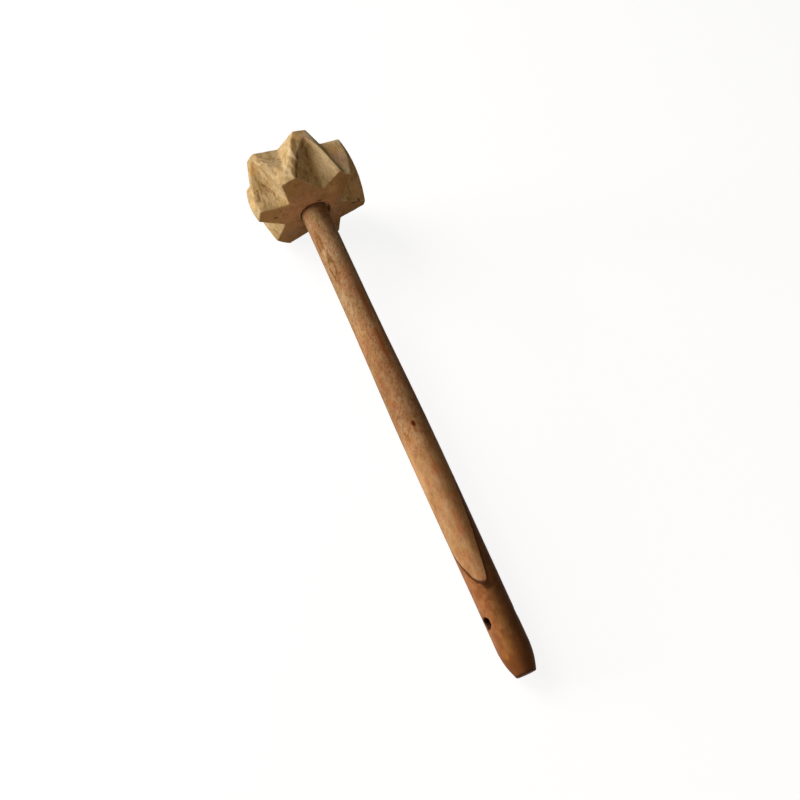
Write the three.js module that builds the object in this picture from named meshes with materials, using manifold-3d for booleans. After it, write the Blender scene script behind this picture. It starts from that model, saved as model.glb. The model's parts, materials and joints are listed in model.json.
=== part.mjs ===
// Wooden churning stick: a star-cut head wedged on the end of a turned handle.
// Millimetres. Each piece is made upright, with the stick's axis on Z and the head at the bottom,
// and the whole stick is then laid on a table at z = 0, with its handle towards +X.

import * as THREE from 'three';
import { mergeVertices } from 'three/addons/utils/BufferGeometryUtils.js';
import Module from 'manifold-3d';

const wasm = await Module();
wasm.setup();

// Overall sizes
const stickLength = 321;

// Head: its side swells a little between the two rims, like a barrel
const farRimRadius = 32.6;
const nearRimRadius = 33.3;
const barrelSwell = 1.15;
const headRimHeight = 32.3;

// Its handle side rises towards the socket, and both of its faces are sawn a little askew
const faceRise = 4.3;
const faceSkewDegrees = 3;
const faceSkewTowardsDegrees = 115;

// The middle of its near rim stands a little off the stick's axis
const headLean = 0.5;
const headLeanTowardsDegrees = 80;

// Notches. Angles run round the axis, and 0 is the side that lies on the table.
const notchesPerFace = 6;
const valleyRadius = 1.2;
const handleSide = {
  tipArcDegrees: 15,
  rootRadius: 18.5,
  runOut: 6.5,
};
const farSide = {
  tipArcDegrees: 12,
  rootRadius: 22.5,
  runOut: 6.5,
};

// How far each hand-cut notch strays from an even star, from the low side round:
// its two corners, its root and its run-out in degrees, and its root and run-out in millimetres
const handleSideStray = [
  { start: 2 },
  { end: -1, rootOut: 2.9 },
  { start: -7, rootTurn: -8, rootOut: -1.3 },
  { start: 2, end: 3, rootTurn: -9.5, rootOut: 1.3 },
  { start: 4, end: 1.5, rootTurn: -2, rootOut: 0.5, runOutTurn: 2, runOutFurther: 4.5 },
  { end: 1.5, rootTurn: -5, rootOut: 0.3, runOutFurther: 1.5 },
];
const farSideStray = [
  {},
  { end: 1 },
  { start: 3, end: 1, rootTurn: -6, rootOut: 0.9, runOutFurther: 13 },
  { start: 2, end: 2, rootTurn: 3, runOutTurn: 2, runOutFurther: -1 },
  { start: 3.5, end: 1 },
  { start: 3 },
];

// Handle: radius along the stick, from the head's far face
const neckRadius = 8.05;
const neckUpTo = 105;
const swellRadius = 8.9;
const swellAt = 190;
const gripRadius = 8.3;
const endTaperLength = 14;
const endRadius = 5.1;
const endBulge = 0.7;

// The taper's end stands a little off the axis, as it was pared by hand
const endDrift = 0.3;
const endDriftTowardsDegrees = 110;

// Hanging hole through the handle
const hangingHoleRadius = 3.05;
const hangingHoleFromEnd = 28.3;
const hangingHoleOffAxis = 0.9;

// Tenon, socket and wedge
const tenonRadius = 7.2;
const fitClearance = 0.3;
const mouthGap = 1.1;
const mouthDepth = 4;
const mouthChamfer = 0.7;
const mouthOffAxis = 0.6;
const mouthOffTowardsDegrees = 135;
const tenonSetBack = 0.6;
const wedgeLength = 20;
const wedgeThickness = 2.6;
const wedgeTipThickness = 0.8;
const wedgeSideGap = 0.6;
const kerfSpare = 3;

// Fineness of the curved surfaces
const headSegments = 144;
const barrelRings = 6;
const handleSegments = 64;
const holeSegments = 32;
const valleySegments = 4;
const taperRings = 6;
const stretchRings = 8;

const cutPast = 15;
const weldDistance = 1e-4;

const woodColours = {
  head: 0xc9a468,
  handle: 0xb9763c,
  wedge: 0x8a5528,
};

const radians = THREE.MathUtils.degToRad;

// Solids

function toSolid(geometry) {
  geometry.deleteAttribute('normal');
  geometry.deleteAttribute('uv');
  const welded = mergeVertices(geometry, weldDistance);
  const corners = welded.index.array;
  const triangles = [];
  for (let i = 0; i < corners.length; i += 3) {
    const [a, b, c] = [corners[i], corners[i + 1], corners[i + 2]];
    if (a !== b && b !== c && c !== a) triangles.push(a, b, c);
  }
  return new wasm.Manifold(new wasm.Mesh({
    numProp: 3,
    vertProperties: Float32Array.from(welded.attributes.position.array),
    triVerts: Uint32Array.from(triangles),
  }));
}

function toGeometry(solid) {
  const mesh = solid.getMesh();
  const geometry = new THREE.BufferGeometry();
  geometry.setAttribute('position', new THREE.BufferAttribute(mesh.vertProperties, 3));
  geometry.setIndex(new THREE.BufferAttribute(mesh.triVerts, 1));
  geometry.computeVertexNormals();
  return geometry;
}

// A turned solid: each profile point is a radius and a height up the axis
function turned(profile, segments) {
  const points = profile.map(([radius, height]) => new THREE.Vector2(radius, height));
  const geometry = new THREE.LatheGeometry(points, segments);
  geometry.rotateX(Math.PI / 2);
  return geometry;
}

function onAxis(radius, degrees, height) {
  const angle = radians(degrees);
  return new THREE.Vector3(radius * Math.cos(angle), radius * Math.sin(angle), height);
}

// Head

const riseSlope = faceRise / (nearRimRadius - neckRadius);
const skewSlope = Math.tan(radians(faceSkewDegrees));
const skewTowards = onAxis(1, faceSkewTowardsDegrees, 0);

function faceHeight(radius) {
  return headRimHeight + riseSlope * (nearRimRadius - radius);
}

function leanAt(height) {
  return onAxis(headLean * height / headRimHeight, headLeanTowardsDegrees, 0);
}

function barrelRadius(height) {
  const share = height / headRimHeight;
  return THREE.MathUtils.lerp(farRimRadius, nearRimRadius, share) + barrelSwell * Math.sin(Math.PI * share);
}

function skewAt(point) {
  return skewSlope * (point.x * skewTowards.x + point.y * skewTowards.y);
}

function headBlank() {
  const side = [];
  for (let i = 0; i <= barrelRings; i++) {
    const height = headRimHeight * i / barrelRings;
    side.push([barrelRadius(height), height]);
  }
  const geometry = turned([[0, 0], ...side, [0, faceHeight(0)]], headSegments);
  const position = geometry.attributes.position;
  const point = new THREE.Vector3();
  for (let i = 0; i < position.count; i++) {
    point.fromBufferAttribute(position, i);
    point.z += skewAt(point);
    point.add(leanAt(point.z));
    position.setXYZ(i, ...point);
  }
  return toSolid(geometry);
}

// A point on the head's side
function onSide(degrees, height) {
  return onAxis(barrelRadius(height), degrees, height).add(leanAt(height));
}

function squareTo(direction, axis) {
  return direction.clone().addScaledVector(axis, -direction.dot(axis));
}

// A V-shaped cutter whose valley runs from the notch's root to its run-out,
// and whose walls pass through the two corners of the notch at the head's rim
function notchCutter({ root, runOut, corners }) {
  const along = runOut.clone().sub(root);
  const length = along.length();
  along.normalize();
  const arms = corners.map((corner) => squareTo(corner.clone().sub(root), along).normalize());
  const middle = arms[0].clone().add(arms[1]).normalize();
  const across = new THREE.Vector3().crossVectors(along, middle);
  const half = arms[0].angleTo(arms[1]) / 2;
  const reach = 2 * nearRimRadius;
  const turn = Math.PI / 2 + half;

  const tangent = valleyRadius / Math.tan(half);
  const section = new THREE.Shape();
  section.moveTo(reach * Math.cos(half), -reach * Math.sin(half));
  section.lineTo(tangent * Math.cos(half), -tangent * Math.sin(half));
  section.absarc(valleyRadius / Math.sin(half), 0, valleyRadius, -turn, turn, true);
  section.lineTo(reach * Math.cos(half), reach * Math.sin(half));
  section.closePath();
  const cutter = new THREE.ExtrudeGeometry(section, {
    depth: length + 2 * cutPast,
    curveSegments: valleySegments,
    bevelEnabled: false,
  });
  cutter.translate(0, 0, -cutPast);
  cutter.applyMatrix4(new THREE.Matrix4().makeBasis(middle, across, along).setPosition(root));
  return toSolid(cutter);
}

// Notch number i on one face; the far face's notches lie between the handle side's
function notchPlaces(i, onHandleSide) {
  const side = onHandleSide ? handleSide : farSide;
  const strays = onHandleSide ? handleSideStray : farSideStray;
  const stray = { start: 0, end: 0, rootTurn: 0, rootOut: 0, runOutTurn: 0, runOutFurther: 0 };
  Object.assign(stray, strays[i % strays.length]);

  const step = 360 / notchesPerFace;
  const middle = step * i + (onHandleSide ? 0 : step / 2);
  const halfOpening = (step - side.tipArcDegrees) / 2;
  const rimHeight = onHandleSide ? headRimHeight : 0;
  const rootRadius = side.rootRadius + stray.rootOut;
  const root = onAxis(rootRadius, middle + stray.rootTurn, 0);
  root.z = skewAt(root) + (onHandleSide ? faceHeight(rootRadius) : 0);
  const depth = side.runOut - stray.runOutFurther;
  const runOutHeight = onHandleSide ? depth : headRimHeight - depth;
  return {
    root,
    runOut: onSide(middle + stray.runOutTurn, runOutHeight),
    corners: [
      onSide(middle - halfOpening + stray.start, rimHeight),
      onSide(middle + halfOpening + stray.end, rimHeight),
    ],
  };
}

// Where the handle's shoulder seats, and the mouth round it, which is bored a little off the axis
const mouthRadius = neckRadius + mouthGap;
const seatHeight = faceHeight(mouthRadius) - mouthDepth;

function socketCutter() {
  const boreRadius = tenonRadius + fitClearance;
  const mouthTop = faceHeight(mouthRadius);
  const bore = toSolid(turned([
    [0, -cutPast],
    [boreRadius, -cutPast],
    [boreRadius, mouthTop],
    [0, mouthTop],
  ], headSegments));
  const mouth = toSolid(turned([
    [0, seatHeight],
    [mouthRadius, seatHeight],
    [mouthRadius, mouthTop - mouthChamfer],
    [mouthRadius + mouthChamfer + cutPast, mouthTop + cutPast],
    [0, mouthTop + cutPast],
  ], headSegments));
  const offset = onAxis(mouthOffAxis, mouthOffTowardsDegrees, 0);
  return bore.add(mouth.translate(offset.x, offset.y, 0));
}

function makeHead() {
  let head = headBlank();
  for (let i = 0; i < notchesPerFace; i++) {
    head = head.subtract(notchCutter(notchPlaces(i, true)));
    head = head.subtract(notchCutter(notchPlaces(i, false)));
  }
  return head.subtract(socketCutter());
}

// Handle

const taperStart = stickLength - endTaperLength;
const shoulderHeight = seatHeight + fitClearance;
const tenonEnd = tenonSetBack;

// Points of one stretch of the profile, eased in and out between two radii
function easedStretch(fromHeight, fromRadius, toHeight, toRadius) {
  const points = [];
  for (let i = 1; i <= stretchRings; i++) {
    const share = i / stretchRings;
    const eased = THREE.MathUtils.smoothstep(share, 0, 1);
    const height = THREE.MathUtils.lerp(fromHeight, toHeight, share);
    points.push([THREE.MathUtils.lerp(fromRadius, toRadius, eased), height]);
  }
  return points;
}

function taperPoints() {
  const points = [];
  for (let i = 1; i <= taperRings; i++) {
    const share = i / taperRings;
    const radius = THREE.MathUtils.lerp(gripRadius, endRadius, share) + endBulge * Math.sin(Math.PI * share);
    points.push([radius, taperStart + endTaperLength * share]);
  }
  return points;
}

// The turned blank, with its tapered end drawn aside
function handleBlank() {
  const geometry = turned([
    [0, tenonEnd],
    [tenonRadius, tenonEnd],
    [tenonRadius, shoulderHeight],
    [neckRadius, shoulderHeight],
    [neckRadius, neckUpTo],
    ...easedStretch(neckUpTo, neckRadius, swellAt, swellRadius),
    ...easedStretch(swellAt, swellRadius, taperStart, gripRadius),
    ...taperPoints(),
    [0, stickLength],
  ], handleSegments);
  const position = geometry.attributes.position;
  const point = new THREE.Vector3();
  for (let i = 0; i < position.count; i++) {
    point.fromBufferAttribute(position, i);
    const share = Math.max(0, point.z - taperStart) / endTaperLength;
    point.add(onAxis(endDrift * share, endDriftTowardsDegrees, 0));
    position.setXYZ(i, ...point);
  }
  return toSolid(geometry);
}

// The wedge's outline seen edge on, grown by a clearance and lengthened at both ends along its taper
function wedgeOutline(clearance, pastEnd, pastTip) {
  const taper = (wedgeThickness - wedgeTipThickness) / 2 / wedgeLength;
  const base = wedgeThickness / 2 + clearance + taper * pastEnd;
  const tip = wedgeTipThickness / 2 + clearance - taper * pastTip;
  const top = tenonEnd + wedgeLength + pastTip;
  const outline = new THREE.Shape();
  outline.moveTo(-base, tenonEnd - pastEnd);
  outline.lineTo(base, tenonEnd - pastEnd);
  outline.lineTo(tip, top);
  outline.lineTo(-tip, top);
  outline.closePath();
  return outline;
}

// A slab of the wedge's outline, square to X, with its thickness along Y
function wedgeSlab(outline, width) {
  const slab = new THREE.ExtrudeGeometry(outline, { depth: width, bevelEnabled: false });
  slab.translate(0, 0, -width / 2);
  slab.rotateX(Math.PI / 2);
  slab.rotateZ(Math.PI / 2);
  return toSolid(slab);
}

function hangingHoleCutter() {
  const cutter = new THREE.CylinderGeometry(hangingHoleRadius, hangingHoleRadius, 4 * swellRadius, holeSegments);
  cutter.translate(-hangingHoleOffAxis, 0, stickLength - hangingHoleFromEnd);
  return toSolid(cutter);
}

function makeHandle() {
  const kerf = wedgeSlab(wedgeOutline(fitClearance, cutPast, kerfSpare), 4 * tenonRadius);
  return handleBlank().subtract(hangingHoleCutter()).subtract(kerf);
}

function makeWedge() {
  return wedgeSlab(wedgeOutline(0, 0, 0), 2 * (tenonRadius - wedgeSideGap));
}

// Assembly

function piece(name, solid, colour, roughness) {
  const material = new THREE.MeshStandardMaterial({ color: colour, roughness, metalness: 0 });
  const mesh = new THREE.Mesh(toGeometry(solid), material);
  mesh.name = name;
  return mesh;
}

// How far a piece reaches below the axis when the stick lies with its handle end down by this tilt
function reachBelow(mesh, tilt) {
  const position = mesh.geometry.attributes.position;
  let lowest = -Infinity;
  for (let i = 0; i < position.count; i++) {
    lowest = Math.max(lowest, position.getX(i) * Math.cos(tilt) + position.getZ(i) * Math.sin(tilt));
  }
  return lowest;
}

// The tilt at which the head and the handle's end both touch the table
function restingTilt(head, handle) {
  let [low, high] = [0, Math.PI / 4];
  for (let step = 0; step < 50; step++) {
    const tilt = (low + high) / 2;
    if (reachBelow(head, tilt) > reachBelow(handle, tilt)) low = tilt;
    else high = tilt;
  }
  return (low + high) / 2;
}

// Lay the stick down, with the middle of its footprint at the origin
function layDown(stick, head, handle) {
  stick.rotation.y = Math.PI / 2 + restingTilt(head, handle);
  stick.updateMatrixWorld(true);
  const box = new THREE.Box3().setFromObject(stick, true);
  const centre = box.getCenter(new THREE.Vector3());
  stick.position.set(-centre.x, -centre.y, -box.min.z);
}

const head = piece('churn_head', makeHead(), woodColours.head, 0.75);
const handle = piece('handle', makeHandle(), woodColours.handle, 0.5);
const wedge = piece('tenon_wedge', makeWedge(), woodColours.wedge, 0.8);

const stick = new THREE.Group();
stick.add(head, handle, wedge);
layDown(stick, head, handle);

const churningStick = new THREE.Group();
churningStick.add(stick);

export default churningStick;
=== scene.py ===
"""A wooden churning stick: a star-cut head of pale wood, wedged on the end of a turned brown handle."""

import json
import math

import bmesh
import bpy
import numpy as np
from mathutils import Matrix, Vector, noise


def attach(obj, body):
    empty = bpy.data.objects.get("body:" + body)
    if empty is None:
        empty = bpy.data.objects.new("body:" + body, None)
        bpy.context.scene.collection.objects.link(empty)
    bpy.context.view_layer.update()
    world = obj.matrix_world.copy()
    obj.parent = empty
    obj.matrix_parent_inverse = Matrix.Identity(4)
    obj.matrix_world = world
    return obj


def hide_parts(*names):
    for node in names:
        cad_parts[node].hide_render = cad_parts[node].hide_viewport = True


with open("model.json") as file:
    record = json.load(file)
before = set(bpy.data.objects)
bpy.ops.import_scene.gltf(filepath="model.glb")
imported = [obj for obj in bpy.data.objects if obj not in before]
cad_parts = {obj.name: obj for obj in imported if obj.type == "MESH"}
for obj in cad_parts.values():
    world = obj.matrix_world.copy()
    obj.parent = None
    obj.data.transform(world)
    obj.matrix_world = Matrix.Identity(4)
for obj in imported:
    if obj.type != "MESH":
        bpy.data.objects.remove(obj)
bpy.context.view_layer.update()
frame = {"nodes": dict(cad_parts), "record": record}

MILLIMETRE = 0.001

# The stick's own length, from the head's far face to the handle's end
STICK_LENGTH = 0.321

# Fineness of the worn surfaces
HEAD_GRID = 0.45 * MILLIMETRE
HANDLE_GRID = 0.5 * MILLIMETRE
WEDGE_GRID = 0.3 * MILLIMETRE
WELD_DISTANCE = 0.001 * MILLIMETRE

# How far use has rounded the edges, in passes that each move a point half way to its neighbours
HEAD_ROUNDING = 5
HANDLE_ROUNDING = 2
WEDGE_ROUNDING = 3
ROUNDING_STEP = 0.5
WEAR_SEARCH_PASSES = 10

# Waves that the blade left in the surface: the length and depth of each
HEAD_WAVES = ((7 * MILLIMETRE, 0.16 * MILLIMETRE), (1.9 * MILLIMETRE, 0.07 * MILLIMETRE))
HANDLE_WAVES = ((14 * MILLIMETRE, 0.06 * MILLIMETRE), (2.4 * MILLIMETRE, 0.05 * MILLIMETRE))
WEDGE_WAVES = ()
HEAD_WAVE_SEED = 3.1
HANDLE_WAVE_SEED = 7.7
WEDGE_WAVE_SEED = 1.3

# Camera
CAMERA_PLACE = Vector((0.225236, -0.165891, 0.418857))
CAMERA_AIM = Vector((-0.003139, 0.007910, 0.0))
CAMERA_ROLL = math.radians(16.045)
CAMERA_LENS = 40.5
CAMERA_SENSOR = 36.0
CAMERA_NEAREST = 0.01

# Light: each lamp's direction from the stick, its distance, width, power in watts and colour
LAMPS = {
    "low key lamp": ((-0.32, -0.94, 0.12), 1.6, 0.6, 20.8, (1.0, 1.0, 1.0)),
    "upper lamp": ((-0.60, -0.60, 0.53), 1.6, 1.0, 16.0, (1.0, 1.0, 1.0)),
    "fill lamp": ((0.984, -0.086, 0.156), 1.2, 0.6, 5.6, (1.0, 0.8, 0.6)),
}
SKY_COLOUR = (1.0, 0.85, 0.68)
SKY_STRENGTH = 0.03

# Floor: its glow rises to plain white between these two distances
FLOOR_SIZE = 8.0
FLOOR_COLOUR = (0.27, 0.26, 0.25)
FLOOR_GLOW = 0.88
FLOOR_WHITE_FROM = 0.7
FLOOR_WHITE_AT = 2.2


def linear(red, green, blue):
    """A colour of the screen, each part from 0 to 255, as the light it stands for on the sRGB curve."""
    parts = []
    for part in (red, green, blue):
        share = part / 255
        parts.append(share / 12.92 if share <= 0.04045 else ((share + 0.055) / 1.055) ** 2.4)
    return (*parts, 1.0)


# Colours of the head's walls
HEAD_CREAM = linear(213, 185, 139)
HEAD_STRAW = linear(194, 161, 108)
HEAD_OCHRE = linear(206, 158, 92)
HEAD_PINK = linear(214, 166, 132)
# A warm pale colour, laid as painted light on walls that face away from the lamps
HEAD_WARM_AND_PAINTED_LIGHT = linear(226, 184, 132)
# Pale grain and wear, also laid on the edges as painted highlight
HEAD_PALE_AND_HIGHLIGHT = linear(225, 197, 151)
HEAD_OLIVE = linear(146, 117, 68)
HEAD_BROWN = linear(124, 88, 50)
# Painted shade, for a band down the top point's ridge
HEAD_PAINTED_SHADE = linear(112, 80, 38)
HEAD_SPOT = linear(70, 44, 20)

# Colours of its star faces
END_GRAIN_BROWN = linear(172, 130, 80)
END_GRAIN_RED = linear(186, 137, 102)
END_GRAIN_OLIVE = linear(152, 120, 70)
END_GRAIN_GREY = linear(164, 132, 110)
END_GRAIN_DARK = linear(112, 74, 42)
# Pale end grain, also laid over the faces' left as painted light
FACE_PALE_AND_PAINTED_LIGHT = linear(206, 162, 116)
# Painted shade over the faces' right
FACE_PAINTED_SHADE = linear(112, 82, 58)

# Colours of the handle's sapwood, and shades that it is multiplied by
SAP_PALE = linear(196, 151, 105)
# Painted light for the handle's left side
SAP_PAINTED_LIGHT = linear(226, 176, 122)
SAP_TAN = linear(171, 122, 78)
SAP_PINK = linear(186, 120, 84)
SAP_YELLOW = linear(184, 142, 84)
SAP_ORANGE = linear(184, 114, 62)
SAP_FLECK = linear(134, 78, 40)
STREAK_BROWN = linear(146, 76, 32)
LOOP_BROWN = linear(124, 82, 38)
KNOT_BROWN = linear(78, 32, 8)
KNOT_FAINT = linear(140, 72, 26)
NECK_SHADE = (0.90, 1.03, 1.18, 1.0)
MIDDLE_SHADE = (0.80, 0.82, 0.86, 1.0)
# Painted shade for the handle's right side
RIGHT_PAINTED_SHADE = (0.74, 0.71, 0.66, 1.0)

# Colours of its heartwood
HEART_ORANGE = linear(175, 113, 65)
# Painted light for the heartwood's left side
HEART_PAINTED_LIGHT = linear(164, 118, 86)
HEART_YELLOW = linear(172, 122, 60)
HEART_OCHRE = linear(178, 112, 40)
HEART_BROWN = linear(148, 88, 44)
HEART_RED = linear(136, 80, 36)
HEART_DARK = linear(76, 42, 20)
# Painted shade for the heartwood's right side, also laid as a dark line round the end's rim
HEART_PAINTED_SHADE_AND_RIM = linear(50, 32, 15)
HEART_LINE = linear(54, 20, 8)
SMUDGE_BROWN = linear(66, 36, 16)
# Painted shade inside the hole through the handle
HOLE_PAINTED_SHADE = linear(30, 8, 5)

# Colours of the wedge
WEDGE_LIGHT = linear(140, 92, 54)
WEDGE_DARK = linear(104, 66, 38)

# Places in the materials are in millimetres on the upright stick, whose far face is at height 0

# Noise in the head's wood: drawn out along the stick by, size of its lumps, detail, roughness, seed
HEAD_NOISE = {
    "blotches": (2.5, 5.0, 3, 0.6, 2),
    "warmth": (2.0, 7.0, 3, 0.5, 3),
    "ring wander": (6.0, 12.0, 2, 0.5, 4),
    "ring patches": (2.0, 6.0, 2, 0.5, 5),
    "grains": (1.5, 2.6, 4, 0.65, 6),
    "streaks": (4.0, 1.5, 3, 0.6, 9),
    "tones": (1.0, 6.0, 3, 0.6, 10),
}
HEAD_FINE_NOISE = {
    "pores": (3.0, 0.6, 2, 0.6, 7),
    "speckle": (1.0, 0.9, 3, 0.7, 8),
}

# How far places are shaken: reach, then the noise's lump size, detail, roughness and seed
HEAD_SHAKE = (1.4, 4.0, 2, 0.5, 1)
HANDLE_SHAKE = (1.1, 3.0, 2, 0.5, 21)

# Growth rings of the head, round a pith beside its axis
HEAD_PITH = (-3.0, 2.0)
RING_WIDTH = 1.45
RING_WANDER = 9.0
RING_EDGE = (0.4, 0.95)
RING_PATCH_EDGE = (0.45, 0.7)
RING_PATCH_SHARE = 0.6
RING_STRENGTH = 0.65

# Tones over the head's walls, in order: colour, what it follows, where it starts and is full, strength
WALL_BLOTCH_EDGE = (0.38, 0.62)
WALL_TONES = (
    (HEAD_OCHRE, "warmth", 0.52, 0.72, 0.5),
    (HEAD_OLIVE, "warmth", 0.46, 0.28, 0.5),
    (HEAD_OLIVE, "grains", 0.49, 0.62, 0.5),
    (HEAD_PALE_AND_HIGHLIGHT, "grains", 0.46, 0.34, 0.3),
)
WALL_SPECKLE = (
    (HEAD_BROWN, "speckle", 0.52, 0.66, 0.25),
)
WALL_PORES = (
    (HEAD_BROWN, "pores", 0.54, 0.68, 0.22),
)

# Stains in the head's wood, and patches of painted light and painted shade as noted: the middle of each
# and its half sizes
STAIN_CORE = 0.3
PALE_STAINS_AND_PAINTED_LIGHT = (
    ((-29.0, 5.5, 22.0), (7.0, 6.0, 16.0)),
    ((-33.1, 3.0, 6.0), (3.0, 3.5, 5.0)),
    # Painted highlight along the left edge of the top point's ridge
    ((-32.0, -11.0, 14.0), (2.4, 2.0, 10.0)),
    # Painted light on a notch wall that faces away from the lamps
    ((-28.0, 13.2, 22.0), (7.0, 3.2, 12.0)),
)
# Warm pale patches, the first of them painted light
WARM_STAINS_AND_PAINTED_LIGHT = (
    # Painted light on the wall behind the top point's ridge, which the ridge shades
    ((-23.0, 18.5, 14.0), (8.0, 8.0, 18.0)),
    ((-4.3, 29.3, 28.5), (9.0, 8.0, 10.0)),
    ((-14.0, 25.0, 20.0), (8.0, 8.0, 16.0)),
)
OCHRE_STAINS = (
    ((-13.5, -29.2, 7.3), (4.0, 4.0, 6.0)),
    ((-32.9, -4.4, 5.0), (3.0, 3.5, 5.0)),
    ((-21.2, 18.1, 9.7), (7.0, 7.0, 8.0)),
)
PINK_STAINS = (
    ((-33.1, 0.0, 7.8), (3.0, 3.5, 4.0)),
    ((-24.1, 19.7, 19.1), (5.0, 5.0, 9.0)),
)
OLIVE_STAINS = (
    ((-9.5, -28.0, 19.0), (7.0, 7.5, 20.0)),
    ((-13.5, -29.5, 9.0), (5.0, 5.0, 8.0)),
    ((-33.0, -4.0, 6.0), (3.0, 4.0, 6.0)),
    ((-29.0, -3.0, 22.0), (6.0, 4.5, 18.0)),
    ((-31.5, 3.0, 16.0), (3.0, 3.0, 7.0)),
)
# Painted shade: a darker band down the top point's ridge
RIDGE_PAINTED_SHADE = (
    ((-33.2, -7.2, 9.0), (2.4, 2.1, 8.0)),
    ((-32.9, -8.5, 16.0), (2.2, 2.0, 8.0)),
    ((-31.9, -11.3, 24.0), (2.2, 1.9, 7.0)),
    ((-30.5, -13.2, 29.0), (2.2, 1.9, 6.0)),
)
RING_LINES = (
    ((-22.8, -21.9, 10.8), (10.0, 10.0, 14.0)),
)
DARK_STREAKS = (
    ((-10.5, -26.1, 20.0), (2.0, 2.0, 10.0)),
    ((-7.8, -30.8, 20.0), (1.8, 1.8, 10.0)),
    ((-9.8, -22.4, 26.0), (1.8, 1.8, 6.0)),
    ((1.2, -23.0, 32.8), (1.6, 2.2, 1.6)),
)
DARK_SPOTS = (
    ((-1.6, 28.7, 34.0), (1.9, 2.2, 1.9)),
    ((-1.2, 25.0, 34.4), (1.6, 3.0, 1.8)),
    ((-11.2, 1.2, 36.2), (1.3, 2.6, 1.5)),
)

# How these stains are laid: colour, stains, strength
# Pale patches: pale wood, and painted light where noted in the stains above
PALE_AND_PAINTED_LIGHT_LAYERS = (
    (HEAD_PALE_AND_HIGHLIGHT, PALE_STAINS_AND_PAINTED_LIGHT, 0.8),
    (HEAD_WARM_AND_PAINTED_LIGHT, WARM_STAINS_AND_PAINTED_LIGHT, 0.85),
)
WARM_LAYERS = (
    (HEAD_OCHRE, OCHRE_STAINS, 0.6),
    (HEAD_PINK, PINK_STAINS, 0.6),
)
# How the ridge's painted shade is laid: its core and strength
RIDGE_PAINTED_SHADE_CORE = 0.5
RIDGE_PAINTED_SHADE_STRENGTH = 0.8
OLIVE_STRENGTH = 0.25
STREAK_EDGE = (0.5, 0.64)
STREAK_SHARE = 0.25
STREAK_SHARE_IN_OLIVE = 0.35
DARK_STREAK_EDGE = (0.4, 0.58)
DARK_STREAK_STRENGTH = 0.8
DARK_SPOT_STRENGTH = 0.7

# The star faces: redder round the mouth, olive towards the points, greyer between, with painted light on
# their left and painted shade on their right
REDDISH_EDGE = (32.0, 18.0)
REDDISH_WANDER = 12.0
OLIVE_FACE = (
    ((-20.5, -16.0, 35.0), (7.0, 6.0, 4.0)),
    ((-13.5, 3.0, 36.0), (3.5, 7.0, 3.0)),
    ((-5.0, 24.0, 35.0), (3.5, 4.5, 3.0)),
)
PALE_FACE = (
    ((-19.0, 9.0, 35.2), (6.0, 5.0, 3.0)),
    ((-9.9, -15.8, 34.1), (5.0, 5.0, 3.0)),
)
PINK_FACE = (
    ((-13.5, -6.0, 36.0), (5.0, 7.0, 4.0)),
    ((4.0, -16.0, 36.0), (8.0, 8.0, 4.0)),
)
GREY_FACE = (
    ((-8.0, 15.5, 36.0), (7.0, 5.0, 4.0)),
    ((2.0, 13.0, 36.0), (6.0, 4.0, 4.0)),
)
FACE_TONES = (
    (END_GRAIN_OLIVE, "tones", 0.48, 0.36, 0.6),
    (END_GRAIN_GREY, "tones", 0.52, 0.64, 0.6),
)
FACE_LAYERS = (
    (END_GRAIN_OLIVE, OLIVE_FACE, 0.7),
    (FACE_PALE_AND_PAINTED_LIGHT, PALE_FACE, 0.5),
    (END_GRAIN_RED, PINK_FACE, 0.6),
    (END_GRAIN_GREY, GREY_FACE, 0.6),
)
# The first two rows are painted light and painted shade across the faces; the rest are grain
FACE_GRAIN_AND_PAINTED_SHADING = (
    (FACE_PALE_AND_PAINTED_LIGHT, "across", -8.0, -24.0, 0.35),
    (FACE_PAINTED_SHADE, "across", 6.0, 24.0, 0.5),
    (END_GRAIN_DARK, "grains", 0.5, 0.66, 0.4),
    (HEAD_STRAW, "speckle", 0.44, 0.3, 0.35),
    (END_GRAIN_DARK, "speckle", 0.56, 0.68, 0.35),
)
FACE_STREAKS = (
    (END_GRAIN_DARK, DARK_STREAKS, 0.7),
)

# The head's surface: where end grain shows, its edges paler, in wear and painted highlight, and its
# hollows darker; its relief, dullness and gloss
HEAD_END_GRAIN_EDGE = (0.7, 0.97)
HEAD_END_GRAIN_STRENGTH = 0.92
WEAR_SPECKLE = 0.06
HEAD_EDGES_AND_HOLLOWS = (
    (HEAD_PALE_AND_HIGHLIGHT, "worn", 0.1, 0.24, 0.55),
    (HEAD_BROWN, "stands_out", -0.05, -0.22, 0.3),
)
HEAD_RELIEF = {"pores": -0.3, "ring": -0.3, "speckle": 0.5}
HEAD_GRAIN_DEPTH = 0.14 * MILLIMETRE
HEAD_ROUGHNESS = 0.68
HEAD_ROUGHNESS_SPREAD = 0.15
HEAD_GLOSS = 0.03

# Noise in the handle's wood, with the same columns as the head's
HANDLE_NOISE = {
    "blotches": (3.0, 4.0, 4, 0.6, 22),
    "warmth": (1.8, 4.5, 3, 0.6, 23),
    "patches": (1.6, 5.0, 2, 0.5, 26),
    "grains": (1.0, 1.3, 4, 0.7, 29),
}
FLECK_NOISE = {
    "flecks": (2.6, 1.1, 3, 0.6, 24),
}
PORE_NOISE = {
    "pores": (8.0, 0.45, 2, 0.5, 25),
}
UNROLLED_NOISE = {
    "loop breaks": (1.0, 2.2, 2, 0.5, 27),
    "loop gaps": (1.0, 2.2, 2, 0.5, 28),
    "mottle": (1.0, 5.0, 4, 0.6, 33),
}
FLECK_SLANT = -0.043

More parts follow.
